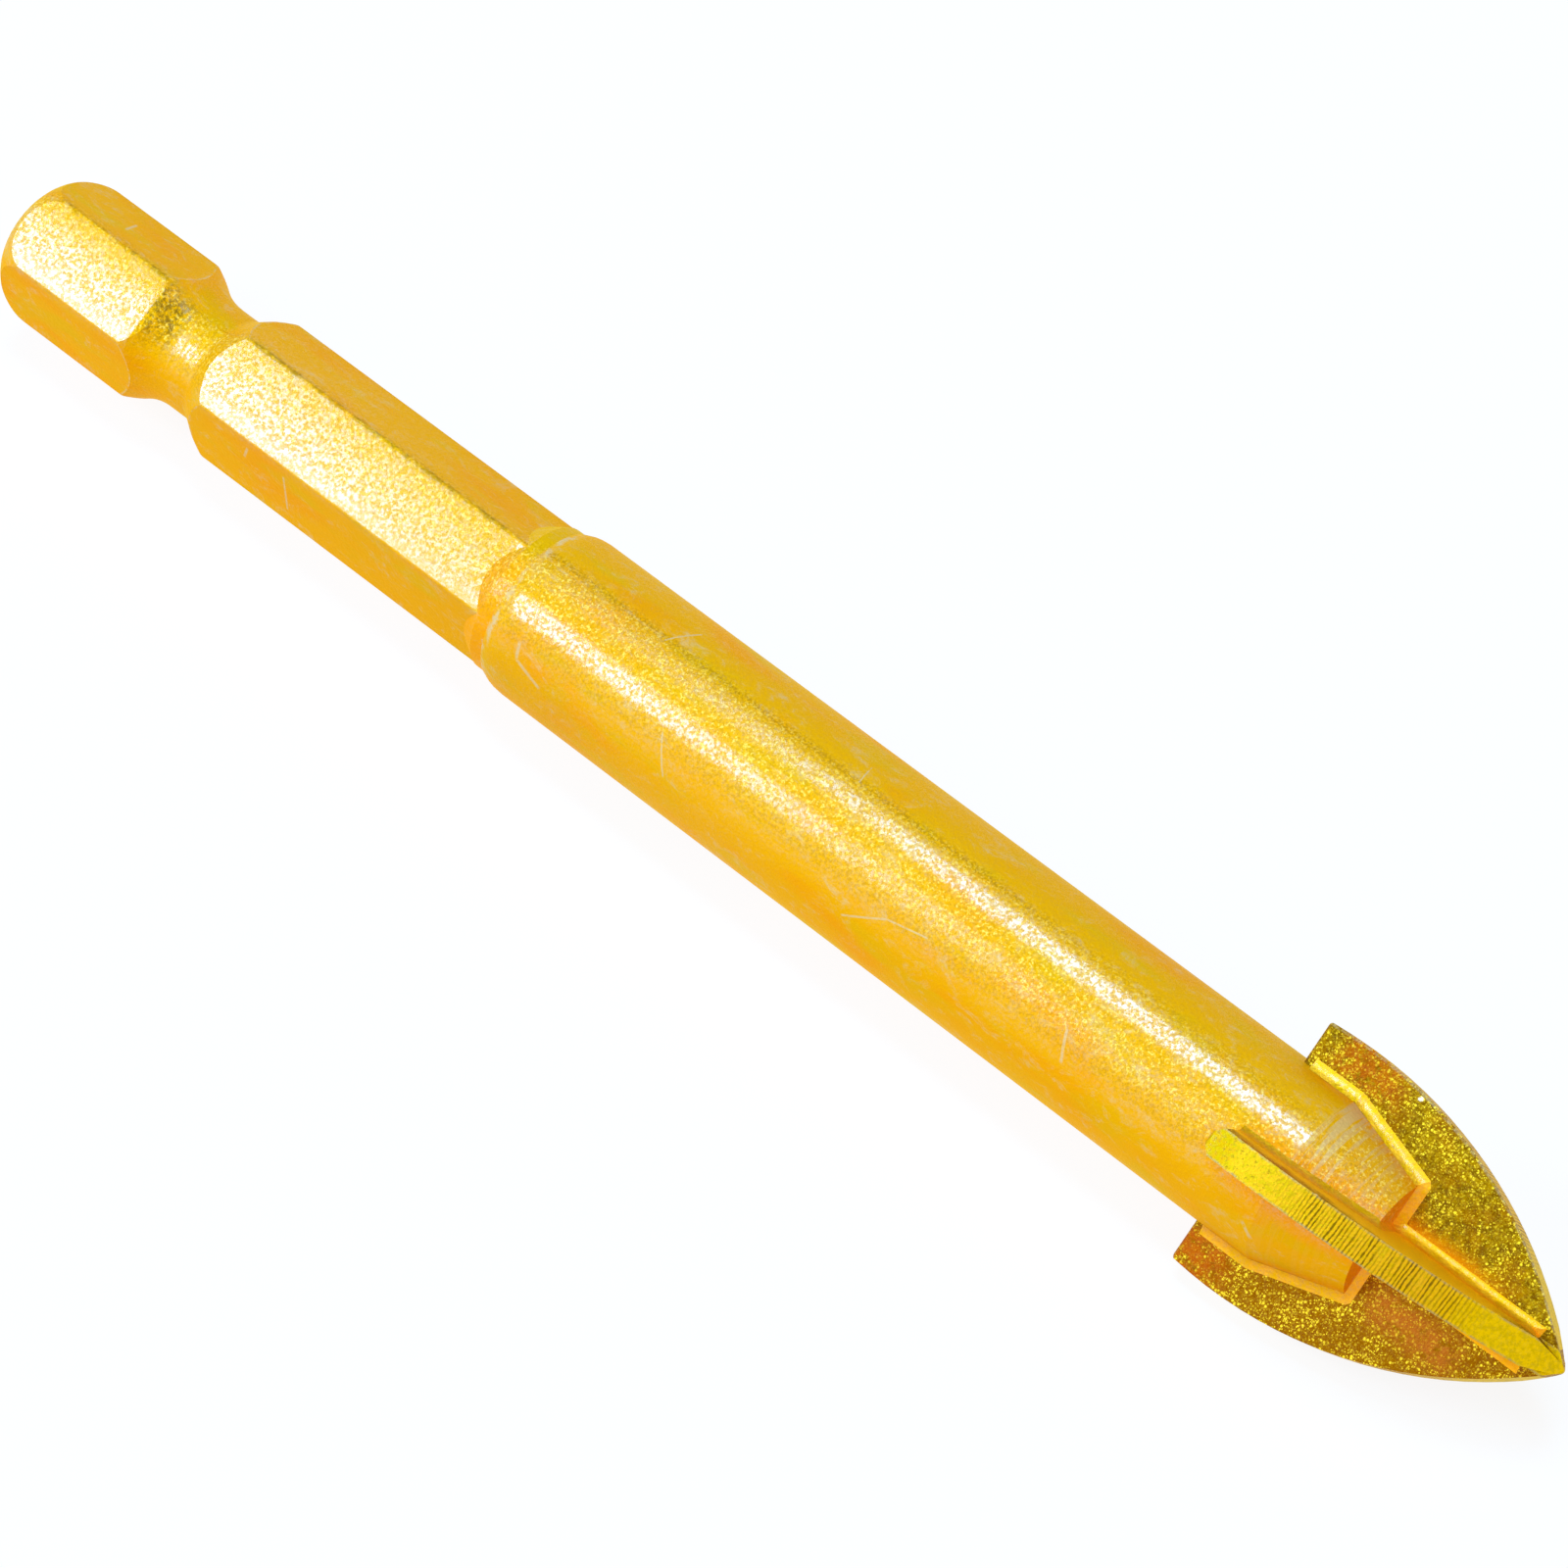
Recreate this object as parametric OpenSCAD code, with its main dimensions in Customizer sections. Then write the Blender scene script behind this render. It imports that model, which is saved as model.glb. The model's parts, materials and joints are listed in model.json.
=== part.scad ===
// Glass and tile drill bit: a steel body on a hexagon shank, with a cross of carbide plates
// brazed into its front end. Each plate is ground to a spear point with four cutting edges.
// The bit lies at rest on two of its four wings, with its axis along X and its point at +X.

/* [Shank] */
// Overall length, from the end of the shank to the point
overall_l = 87; // [75:0.5:130]
// Length of the hexagon shank, up to the rear edge of the round body
shank_l = 31; // [24:0.1:45]
// Width of the hexagon across its flats
hex_af = 6.3; // [5.8:0.05:6.6]
// Radius on the hexagon's six edges
hex_edge_r = 0.2; // [0.05:0.05:0.6]
// Radius that rounds the end of the shank
shank_end_r = 2.2; // [0.5:0.1:2.8]
// Turn of the hexagon's flats from the spear plate, in degrees
hex_turn = -9.1; // [-30:0.1:30]

/* [Detent groove] */
// Distance from the end of the shank to the groove
groove_z = 8.4; // [5:0.05:11]
// Diameter at the groove's floor
groove_d = 5.35; // [4.6:0.05:5.8]
// Length of the groove's floor
groove_floor_l = 2.2; // [1:0.1:5]
// Slope of the groove's rear side, in degrees from the axis
groove_rear_slope = 34; // [15:1:60]
// Slope of the groove's front side, in degrees from the axis
groove_front_slope = 33; // [15:1:60]
// Radius that blends the rear side into the floor
groove_rear_blend_r = 2.9; // [0.3:0.1:3.5]
// Radius that blends the front side into the floor
groove_front_blend_r = 0.5; // [0.2:0.1:1]
// Radius on the groove's two outer edges
groove_edge_r = 0.4; // [0.1:0.05:0.8]

/* [Body] */
// Diameter of the round body
body_d = 8; // [7.5:0.1:10]
// Slope of the cone that ends the hexagon's flats, in degrees from the axis
run_out_slope = 31; // [12:1:40]
// Length of the round neck between that cone and the body's rear edge
neck_l = 0.7; // [0.2:0.1:1.5]
// Height of the small step at the rear edge of the body
body_step_h = 0.09; // [0.05:0.01:0.14]
// Fall of the rounded rear edge below the body's surface
body_edge_drop = 0.24; // [0.15:0.01:0.3]
// Length of the rounded rear edge along the body
body_edge_l = 1.05; // [0.6:0.05:3]

/* [Prongs] */
// Distance from the point back to the ends of the four prongs
prong_setback = 9.05; // [8:0.05:12]
// Length of the prongs' conical part
prong_cone_l = 4.15; // [2:0.05:6]
// Diameter across the ends of the prongs
prong_end_d = 5.6; // [4.6:0.1:7]

/* [Carbide plates] */
// Drilling diameter, measured over the leading faces of two opposite plates
head_d = 12.1; // [10.5:0.1:16]
// Length of the plates, from their rear end to the point
plate_l = 16; // [14:0.1:22]
// Thickness of the plates
plate_t = 1.33; // [1:0.01:1.8]
// Distance from the rear end of the plates to their widest place
plate_widest_z = 2; // [0.5:0.1:4]
// Radius of the point
point_r = 0.3; // [0.15:0.05:0.6]
// Radius on the plates' rear outer corners
plate_corner_r = 0.2; // [0.1:0.05:0.5]
// Chamfer along the spear plate's rear edges
spear_chamfer = 0.42; // [0.2:0.02:0.45]
// Chamfer along the wing plates' rear edges
wing_chamfer = 0.1; // [0.06:0.02:0.2]
// Clearance angle ground behind each cutting edge, in degrees
relief = 7; // [3:0.5:12]

/* [Point gashes] */
// Distance from the point back to where the gashes start
gash_l = 2; // [1.5:0.1:5]
// Width by which the gashes reach past the brazing metal in the corners
gash_margin = 0.1; // [0.05:0.05:0.3]
// Depth of the gashes in the plates' faces at the point
gash_bite = 0.48; // [0.2:0.02:0.5]

/* [Brazing] */
// Radius of the brazing metal's hollow surface between a prong and a plate's leading face
leading_bead_r = 0.95; // [0.7:0.05:1.2]
// Radius of its hollow surface between a prong and a plate's trailing face
trailing_bead_r = 0.83; // [0.6:0.01:1.1]
// Radius of its hollow surface in the corners between the plates
corner_bead_r = 0.62; // [0.45:0.01:0.7]
// Depth under a plate's face at which a hollow surface would run level with it
bead_dip = 0.02; // [0.01:0.005:0.04]

/* [Hidden] */
$fn = 240;

steel_gold = [0.85, 0.62, 0.12];
carbide_gold = [0.55, 0.45, 0.08];
braze_gold = [0.95, 0.68, 0.2];

// A length that reaches past the whole head, for slabs and extrusions that are cut back.
beyond = 2 * head_d;

// The hexagon
hex_sides = 6;
hex_half_angle = 180 / hex_sides;
hex_edge_centre = hex_af / 2 - hex_edge_r;
hex_corner_r = hex_edge_centre / cos(hex_half_angle) + hex_edge_r;

// The groove's four corners along the shank
groove_r = groove_d / 2;
groove_depth = hex_corner_r - groove_r;
groove_floor_z = groove_z + groove_depth / tan(groove_rear_slope);
groove_floor_end_z = groove_floor_z + groove_floor_l;
groove_end_z = groove_floor_end_z + groove_depth / tan(groove_front_slope);

// The body's rear edge. The run-out cone starts just under the flats.
body_r = body_d / 2;
body_edge_r = (body_edge_l ^ 2 + body_edge_drop ^ 2) / (2 * body_edge_drop);
run_out_r = body_r - body_edge_drop - body_step_h;
run_out_root_r = hex_af / 2 - body_step_h;
neck_z = shank_l - neck_l;
run_out_z = neck_z - (run_out_r - run_out_root_r) / tan(run_out_slope);

// The head, as heights along the axis
plate_z = overall_l - plate_l;
half_t = plate_t / 2;
prong_end_r = prong_end_d / 2;
prong_end_z = overall_l - prong_setback;
prong_cone_z = prong_end_z - prong_cone_l;

// The cutting edge's arc, which touches the widest place and the point's round.
// The outline is drawn square to the ground face, which leans by the relief angle.
half_span = head_d / 2 * cos(relief);
nose_l = plate_l - plate_widest_z;
edge_arc_r = ((nose_l - point_r) ^ 2 / (half_span - point_r) + half_span + point_r) / 2;
edge_arc_x = half_span - edge_arc_r;
point_touch_z = plate_l - point_r + point_r * (nose_l - point_r) / (edge_arc_r - point_r);
corner_rise = plate_widest_z - plate_corner_r;
corner_x = edge_arc_x + sqrt((edge_arc_r - plate_corner_r) ^ 2 - corner_rise ^ 2);
corner_touch_z = plate_corner_r * (1 - corner_rise / (edge_arc_r - plate_corner_r));

// The line along which a prong meets a plate's face: its corner at the cone's rear and at its end
bead_shoulder = [sqrt(body_r ^ 2 - half_t ^ 2), prong_cone_z];
bead_end = [sqrt(prong_end_r ^ 2 - half_t ^ 2), prong_end_z];
prong_lean = atan((bead_shoulder[0] - bead_end[0]) / prong_cone_l);
end_lean = 90;

// The gashes sink from the corner bead's hollow into the plates
gash_start = corner_bead_r * (1 - sqrt(0.5)) - bead_dip;
gash_slope = atan(sqrt(2) * (gash_start + gash_bite) / gash_l);
gash_w = corner_bead_r + gash_bite + gash_margin;

// The bit rests on the outer corners of two wings
wing_tilt = 45;
axis_h = head_d / 2 * cos(wing_tilt) + half_t * sin(wing_tilt);

// Lays the bit, drawn upright from the end of its shank, on the ground.
module lie_down() {
    translate([-overall_l / 2, 0, axis_h]) rotate([0, 90, 0]) rotate([0, 0, wing_tilt]) children();
}

// The sliver between two lines that turn by a slope and the arc that touches both.
module blend(slope, r) {
    touch = r * tan(slope / 2);
    difference() {
        polygon([[0, touch], [0, 0], [touch * sin(slope), -touch * cos(slope)]]);
        translate([r, touch]) circle(r);
    }
}

module hexagon_section() {
    edges = [for (i = [0 : hex_sides - 1]) (2 * i + 1) * hex_half_angle];
    centre_r = hex_edge_centre / cos(hex_half_angle);
    touches = [for (a = edges, side = [-hex_half_angle, hex_half_angle])
        centre_r * [cos(a), sin(a)] + hex_edge_r * [cos(a + side), sin(a + side)]];
    polygon(touches);
    for (a = edges) rotate(a) translate([centre_r, 0]) circle(hex_edge_r);
}

// The air that the turned groove takes away, as a half section.
module groove_section() {
    rim = hex_corner_r + groove_depth;
    difference() {
        union() {
            polygon([[groove_r, groove_floor_z], [hex_corner_r, groove_z], [rim, groove_z],
                     [rim, groove_end_z], [hex_corner_r, groove_end_z], [groove_r, groove_floor_end_z]]);
            translate([hex_corner_r, groove_z]) rotate(180) blend(groove_rear_slope, groove_edge_r);
            translate([hex_corner_r, groove_end_z]) mirror([0, 1]) rotate(180)
                blend(groove_front_slope, groove_edge_r);
        }
        translate([groove_r, groove_floor_z]) blend(groove_rear_slope, groove_rear_blend_r);
        translate([groove_r, groove_floor_end_z]) mirror([0, 1])
            blend(groove_front_slope, groove_front_blend_r);
    }
}

// The round bar that the hexagon is cut from, with its rounded end and its groove.
module turned_shank() {
    rotate_extrude() difference() {
        square([hex_corner_r, shank_l]);
        translate([hex_corner_r - shank_end_r, 0]) difference() {
            square(shank_end_r);
            translate([0, shank_end_r]) circle(shank_end_r);
        }
        groove_section();
    }
}

// The run-out cone, the neck, the round body and the prongs' cone, before the cross slot is cut.
module turned_body() {
    edge_end_z = shank_l + body_edge_l;
    rotate_extrude() {
        polygon([[0, run_out_z], [run_out_root_r, run_out_z], [run_out_r, neck_z], [run_out_r, shank_l],
                 [0, shank_l]]);
        intersection() {
            translate([0, shank_l]) square([body_r, body_edge_l]);
            translate([body_r - body_edge_r, edge_end_z]) circle(body_edge_r);
        }
        translate([0, edge_end_z]) square([body_r, prong_cone_z - edge_end_z]);
        polygon([[0, prong_cone_z], [body_r, prong_cone_z], [prong_end_r, prong_end_z], [0, prong_end_z]]);
    }
}

// The spear outline of a plate, from its rear end up to the point.
module plate_outline() {
    difference() {
        intersection() {
            translate([edge_arc_x, plate_widest_z]) circle(edge_arc_r);
            translate([-edge_arc_x, plate_widest_z]) circle(edge_arc_r);
            translate([-half_span, 0]) square([2 * half_span, point_touch_z]);
        }
        for (side = [0, 1]) mirror([side, 0]) translate([corner_x, 0]) square([half_span, corner_touch_z]);
    }
    for (side = [-1, 1]) translate([side * corner_x, plate_corner_r]) circle(plate_corner_r);
    translate([0, plate_l - point_r]) circle(point_r);
}

// A flat carbide blank with chamfered rear edges, which is also the shape of its slot.
module plate_blank(chamfer) {
    translate([0, 0, plate_z]) rotate([90, 0, 90]) linear_extrude(beyond, center = true)
        polygon([[chamfer - half_t, 0], [half_t - chamfer, 0], [half_t, chamfer],
                 [half_t, plate_l], [-half_t, plate_l], [-half_t, chamfer]]);
}

// The space inside one ground outline, which leans away from the leading face by the relief angle.
module ground_outline() {
    translate([0, half_t, plate_z]) rotate([0, 0, -relief]) rotate([90, 0, 0])
        linear_extrude(beyond, center = true) plate_outline();
}

// Four tapered cuts that thin the middle of the point, one in each corner of the cross.
module gashes() {
    root = half_t + gash_start;
    for (k = [0 : 3]) rotate([0, 0, 90 * k]) translate([root, root, overall_l - gash_l])
        rotate(a = gash_slope, v = [1, -1, 0]) cube([gash_w, gash_w, 2 * gash_l]);
}

module ground_plate(chamfer) {
    difference() {
        intersection() {
            plate_blank(chamfer);
            ground_outline();
            rotate([0, 0, 180]) ground_outline();
        }
        gashes();
    }
}

// The whole plate through the middle. The grinding of the wings trims its point as well.
module pointed_plate() {
    intersection() {
        ground_plate(spear_chamfer);
        rotate([0, 0, 90]) ground_outline();
        rotate([0, 0, 270]) ground_outline();
    }
}

// One half of a ground plate, which butts against the face of the spear plate.
module wing_plate() {
    intersection() {
        rotate([0, 0, 90]) ground_plate(wing_chamfer);
        translate([-beyond / 2, half_t, 0]) cube([beyond, beyond, overall_l]);
    }
}

// The bead's section, outward from a prong's foot and up from the plate's face. It is drawn for
// a bar that is rounder than the prongs, so that its upper edge always ends inside them.
module bead_section(r) {
    bar_r = prong_end_r - half_t / 2;
    rise = (half_t + r) / (bar_r + r);
    run = sqrt(1 - rise ^ 2);
    leg = (bar_r + r) * run - sqrt(bar_r ^ 2 - half_t ^ 2);
    centre = [leg, r - bead_dip];
    touch = centre - r * [run, rise];
    difference() {
        polygon([[-beyond, -half_t], [leg, -half_t], centre, touch, [-beyond, touch[1]]]);
        translate(centre) circle(r);
    }
}

// The space under a bead that runs straight past a prong's foot, leaning in from the axis.
module bead_side(r, foot, lean) {
    translate([foot[0], half_t, foot[1]]) rotate([0, -lean, 0])
        linear_extrude(beyond, center = true) bead_section(r);
}

// The bead along one side of a prong: up the body, up the cone and over the prong's end.
module prong_bead(r) {
    intersection() {
        bead_side(r, bead_shoulder, 0);
        bead_side(r, bead_end, prong_lean);
        bead_side(r, bead_end, (prong_lean + end_lean) / 2);
        bead_side(r, bead_end, end_lean);
    }
}

// The bead in the corner between two plates, up to the gash.
module corner_bead() {
    hollow = corner_bead_r - bead_dip;
    translate([half_t, half_t, prong_end_z - half_t]) linear_extrude(prong_setback) difference() {
        translate([-half_t, -half_t]) square(half_t + hollow);
        translate([hollow, hollow]) circle(corner_bead_r);
    }
}

// What is left of a bead in one corner of the cross, outside the prong.
module seat_bead() {
    difference() {
        intersection() {
            translate([half_t, half_t, plate_z + spear_chamfer]) cube([head_d, head_d, plate_l]);
            children();
        }
        turned_body();
    }
}

// All the brazing metal in one corner of the cross.
module corner_braze() {
    seat_bead() prong_bead(leading_bead_r);
    seat_bead() mirror([1, -1, 0]) prong_bead(trailing_bead_r);
    seat_bead() corner_bead();
}

module shank() {
    color(steel_gold) lie_down() difference() {
        union() {
            intersection() {
                rotate([0, 0, hex_turn]) linear_extrude(shank_l) hexagon_section();
                turned_shank();
            }
            turned_body();
        }
        plate_blank(spear_chamfer);
        rotate([0, 0, 90]) plate_blank(wing_chamfer);
    }
}

module spear_plate() {
    color(carbide_gold) lie_down() pointed_plate();
}

module upper_wing_plate() {
    color(carbide_gold) lie_down() wing_plate();
}

module lower_wing_plate() {
    color(carbide_gold) lie_down() rotate([0, 0, 180]) wing_plate();
}

module braze_beads() {
    color(braze_gold) lie_down() difference() {
        for (k = [0 : 3]) rotate([0, 0, 90 * k]) corner_braze();
        gashes();
    }
}

shank();
spear_plate();
upper_wing_plate();
lower_wing_plate();
braze_beads();
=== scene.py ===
# %% [markdown]
# # A gold drill bit for glass and tile
#
# The bit is a steel body on a hexagon shank, with a cross of carbide plates brazed into its end.
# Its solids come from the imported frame, at their real size and place, so this lesson makes no new
# shapes on the bit. It gives each piece its finish, then sets up a camera, a floor and soft light.
# From afar the thin gold coating looks the same all over, but each piece wears it differently.

# %% Load the fixed frame
import json
import math

import bmesh
import bpy
from mathutils import Matrix, Vector

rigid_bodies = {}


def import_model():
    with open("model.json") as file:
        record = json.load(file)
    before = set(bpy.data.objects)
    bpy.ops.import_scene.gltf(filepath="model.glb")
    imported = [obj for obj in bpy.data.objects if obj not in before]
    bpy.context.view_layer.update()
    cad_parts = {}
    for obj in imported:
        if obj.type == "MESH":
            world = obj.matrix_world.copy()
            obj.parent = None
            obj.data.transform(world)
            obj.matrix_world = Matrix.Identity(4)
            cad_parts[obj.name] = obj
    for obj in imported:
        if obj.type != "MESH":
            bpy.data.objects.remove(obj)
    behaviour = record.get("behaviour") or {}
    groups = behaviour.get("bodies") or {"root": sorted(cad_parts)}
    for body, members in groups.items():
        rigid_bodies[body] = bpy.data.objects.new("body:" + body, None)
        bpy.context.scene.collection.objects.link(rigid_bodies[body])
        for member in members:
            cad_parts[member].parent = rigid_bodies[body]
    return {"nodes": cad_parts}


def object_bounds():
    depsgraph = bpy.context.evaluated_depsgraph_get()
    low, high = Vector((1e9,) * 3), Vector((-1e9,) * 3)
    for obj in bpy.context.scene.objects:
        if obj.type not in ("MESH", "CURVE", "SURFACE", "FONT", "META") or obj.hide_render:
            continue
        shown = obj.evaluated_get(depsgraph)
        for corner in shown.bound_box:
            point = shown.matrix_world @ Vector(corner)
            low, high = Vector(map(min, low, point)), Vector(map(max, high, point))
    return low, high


for leftover in list(bpy.data.objects):
    bpy.data.objects.remove(leftover)
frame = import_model()
cad_low, cad_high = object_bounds()
MM = 0.001
print("pieces:", ", ".join(sorted(frame["nodes"])))

# %% [markdown]
# ## The bit's own directions
#
# The bit lies along X, and everything on it is easier to say in its own terms: so many
# millimetres along, and so many degrees round. The hexagon has one flat that faces up and to
# the front. The degrees are counted from that flat, and they grow towards the far side.

# %% Directions along and round the bit
AXIS_HEIGHT = (cad_low.z + cad_high.z) / 2 / MM
BACK_END = cad_low.x / MM
POINT = cad_high.x / MM
FLAT_RISE = math.radians(54.14)
ALONG = Vector((1, 0, 0))
FLAT = Vector((0, -math.cos(FLAT_RISE), math.sin(FLAT_RISE)))
FAR = Vector((0, math.sin(FLAT_RISE), math.cos(FLAT_RISE)))


def direction(swing, turn):
    """A direction away from the bit: turned round it, then swung towards its point, in degrees."""
    s, t = math.radians(swing), math.radians(turn)
    out = FLAT * math.cos(t) + FAR * math.sin(t)
    return ALONG * math.sin(s) + out * math.cos(s)


def on_axis(along_mm):
    """A point on the bit's axis, in metres."""
    return Vector((along_mm, 0, AXIS_HEIGHT)) * MM


print(f"the bit reaches from {BACK_END:.2f} to {POINT:.2f} mm")
print(f"its axis is {AXIS_HEIGHT:.3f} mm above the floor")

# %% [markdown]
# ## The camera
#
# The bit is seen from above its front, with the point swung a little nearer. A long lens keeps
# its sides almost parallel. The camera is turned about its own line of sight until the bit runs
# from the upper left to the lower right. Angles about the axes would hide that turn, so the
# camera's matrix is built from three directions instead.

# %% Set the camera
VIEW_SWING = 21.55
VIEW_DISTANCE = 262.86 * MM
VIEW_AIM = on_axis(1.51) + FAR * 0.19 * MM
SLANT_IN_FRAME = math.radians(36.75)
LENS = 142.2
SENSOR_WIDTH = 36
NEAREST_SEEN = 0.01

swing = math.radians(VIEW_SWING)
back = direction(VIEW_SWING, 0)
down_the_bit = ALONG * math.cos(swing) - FLAT * math.sin(swing)
right = down_the_bit * math.cos(SLANT_IN_FRAME) + FAR * math.sin(SLANT_IN_FRAME)
up = FAR * math.cos(SLANT_IN_FRAME) - down_the_bit * math.sin(SLANT_IN_FRAME)

camera_data = bpy.data.cameras.new("camera")
camera_data.lens = LENS
camera_data.sensor_width = SENSOR_WIDTH
camera_data.clip_start = NEAREST_SEEN
camera = bpy.data.objects.new("camera", camera_data)
bpy.context.scene.collection.objects.link(camera)
turned = Matrix((right, up, back)).transposed().to_4x4()
camera.matrix_world = Matrix.Translation(VIEW_AIM + back * VIEW_DISTANCE) @ turned
bpy.context.scene.camera = camera
print("camera at", [round(c, 4) for c in camera.location])

# %% [markdown]
# ## Writing shaders as sums
#
# A finish is a lot of small masks: near an edge, on the cone, inside a patch. Drawn as nodes,
# the maths soon hides the idea. So one small class wraps a socket. Sums and products of wrapped
# sockets add their Math nodes, and its `node` method adds any other node.

# %% One class for shader maths
class Wire:
    """One output in a shader's node tree."""

    def __init__(self, tree, socket=None):
        self.tree = tree
        self.socket = socket

    def node(self, kind, settings=None, values=None, output=0):
        """Adds a node. Its settings come first, then the values or wires of its sockets."""
        made = self.tree.nodes.new(kind)
        for name, value in (settings or {}).items():
            setattr(made, name, value)
        for name, value in (values or {}).items():
            if isinstance(value, Wire):
                self.tree.links.new(value.socket, made.inputs[name])
            else:
                made.inputs[name].default_value = value
        return Wire(self.tree, None if output is None else made.outputs[output])

    def maths(self, operation, *terms):
        return self.node("ShaderNodeMath", {"operation": operation}, dict(enumerate(terms)))

    def __add__(self, other):
        return self.maths("ADD", self, other)

    def __radd__(self, other):
        return self.maths("ADD", other, self)

    def __sub__(self, other):
        return self.maths("SUBTRACT", self, other)

    def __rsub__(self, other):
        return self.maths("SUBTRACT", other, self)

    def __mul__(self, other):
        return self.maths("MULTIPLY", self, other)

    def __rmul__(self, other):
        return self.maths("MULTIPLY", other, self)

    def __abs__(self):
        return self.maths("ABSOLUTE", self)


print("shader maths ready")

# %% [markdown]
# ## Masks and mixes
#
# A mask is a number from 0 to 1 at each place of the surface. It could be painted on an image,
# but that needs an unwrapped mesh and shows its pixels close up. Here a mask is a soft step of
# some distance, often roughened by noise, which stays sharp at any size. A colour then goes
# from one hue to another as far as its mask says.

# %% Helpers for masks and colours
def smooth(value, low, high):
    """Rises from 0 to 1 as value goes from low to high, or falls if low is the larger."""
    settings = {"interpolation_type": "SMOOTHSTEP"}
    values = {"Value": value, "From Min": low, "From Max": high}
    return value.node("ShaderNodeMapRange", settings, values)


def band(value, low, high, soft):
    """1 between low and high, with soft ends."""
    return smooth(value, low - soft, low + soft) * smooth(value, high + soft, high - soft)


def larger(first, *others):
    """The largest of some masks."""
    for other in others:
        first = first.maths("MAXIMUM", first, other)
    return first


def smaller(first, second):
    """The smaller of two distances."""
    return first.maths("MINIMUM", first, second)


def mix(share, first, second):
    """A colour that goes from the first to the second."""
    return share.node("ShaderNodeMix", {"data_type": "RGBA"}, {0: share, 6: first, 7: second}, 2)


def stretched(place, along, across):
    """The same place with its scale changed along and across the bit."""
    scale = (along, across, across)
    return place.node("ShaderNodeVectorMath", {"operation": "MULTIPLY"}, {0: place, 1: scale})


def noise(place, scale, detail=2.0, roughness=0.5, distortion=0.0):
    """Cloudy noise of about 0.5, with so many lumps to the millimetre."""
    values = {"Vector": place, "Scale": scale, "Detail": detail, "Roughness": roughness,
              "Distortion": distortion}
    return place.node("ShaderNodeTexNoise", None, values)


def linear(level):
    """A level as it shows on a screen, from 0 to 255, as the shader's own linear level."""
    level = level / 255
    return level / 12.92 if level <= 0.04045 else ((level + 0.055) / 1.055) ** 2.4


def tone(red, green, blue):
    """A colour given by its levels on a screen."""
    return (linear(red), linear(green), linear(blue), 1.0)


print("mid grey on a screen is", round(linear(128), 3), "in a shader")

# %% [markdown]
# ## Places on the bit
#
# All masks start from Object coordinates, so they stay with the metal from every side. They are
# turned into millimetres, then into distance along the bit, distance from its axis and degrees
# round it. The plates stand at 45 degrees, so two more values measure along and across them.

# %% Coordinates that follow the bit
AT_45 = math.sqrt(0.5)


class Place:
    """Where a point of the surface is on the bit, in millimetres and degrees."""

    def __init__(self, tree):
        root = Wire(tree)
        metres = root.node("ShaderNodeTexCoord", output="Object")
        to_mm = {0: metres, "Scale": 1 / MM}
        self.point = root.node("ShaderNodeVectorMath", {"operation": "SCALE"}, to_mm)
        self.along = self.part(self.point, "X")
        side = self.part(self.point, "Y")
        height = self.part(self.point, "Z") - AXIS_HEIGHT
        far = side * FAR.y + height * FAR.z
        facing = side * FLAT.y + height * FLAT.z
        self.out = root.maths("SQRT", side * side + height * height)
        self.turn = root.maths("DEGREES", root.maths("ARCTAN2", far, facing))
        self.up_spear = (height - side) * AT_45
        self.up_wing = (height + side) * AT_45
        normal = root.node("ShaderNodeTexCoord", output="Normal")
        self.lean = self.part(normal, "X")
        self.normal_side = self.part(normal, "Y")
        self.normal_height = self.part(normal, "Z")

    def part(self, vector, name):
        return vector.node("ShaderNodeSeparateXYZ", None, {0: vector}, name)


def empty_material(name):
    material = bpy.data.materials.new(name)
    material.use_nodes = True
    material.node_tree.nodes.clear()
    return material


def new_finish(name):
    """An empty material, with the places that its masks start from."""
    material = empty_material(name)
    return material, Place(material.node_tree)


print("places ready")

# %% [markdown]
# ## The coating
#
# The real coating is a thin clear gold film over a matt metal. A plain glossy gold would turn
# dark wherever it mirrors a dark corner. So the gold itself is a very rough metal, which keeps
# its hue from every side, and the shine comes from a clear coat over it. The coat's weight
# follows a fine grain, so its white shine breaks up into sparkles as the real one does.

# %% A rough gold metal under a sparkling film
METAL_ROUGHNESS = 0.78
FILM_ROUGHNESS = 0.18
FILM_IOR = 2.6
GRAINS_PER_MM = 6.0
GRAIN_DEPTH = 0.03 * MM


def sparkle(at, least, most):
    """How much of the clear film's white shine each grain lets through."""
    return smooth(noise(at.point, GRAINS_PER_MM, 2, 0.6), 0.4, 0.68) * (most - least) + least


def grain_normal(at, scale, more=0):
    """The slopes of the blasted surface."""
    height = noise(at.point, scale, 2, 0.55) + more
    return at.point.node("ShaderNodeBump", None, {"Height": height, "Distance": GRAIN_DEPTH})


def coat(material, colour, roughness, normal, film):
    """Ends a finish: gold metal under a clear film of this weight."""
    root = Wire(material.node_tree)
    values = {"Base Color": colour, "Roughness": roughness, "Normal": normal, "Coat Weight": film,
              "Metallic": 1.0, "Coat Roughness": FILM_ROUGHNESS, "Coat IOR": FILM_IOR}
    metal = root.node("ShaderNodeBsdfPrincipled", None, values)
    root.node("ShaderNodeOutputMaterial", None, {"Surface": metal}, None)


print("the grains are", round(1 / GRAINS_PER_MM, 2), "mm wide")

# %% [markdown]
# ## The steel's hues
#
# The film's hue drifts with its thickness: amber on most of the steel, orange where it pooled
# beside the plates, and lime where it is thinnest. Long clouds of noise make the drift, because
# a single gold looks like paint. The rounded neck behind the body is orange below and lime above.

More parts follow.
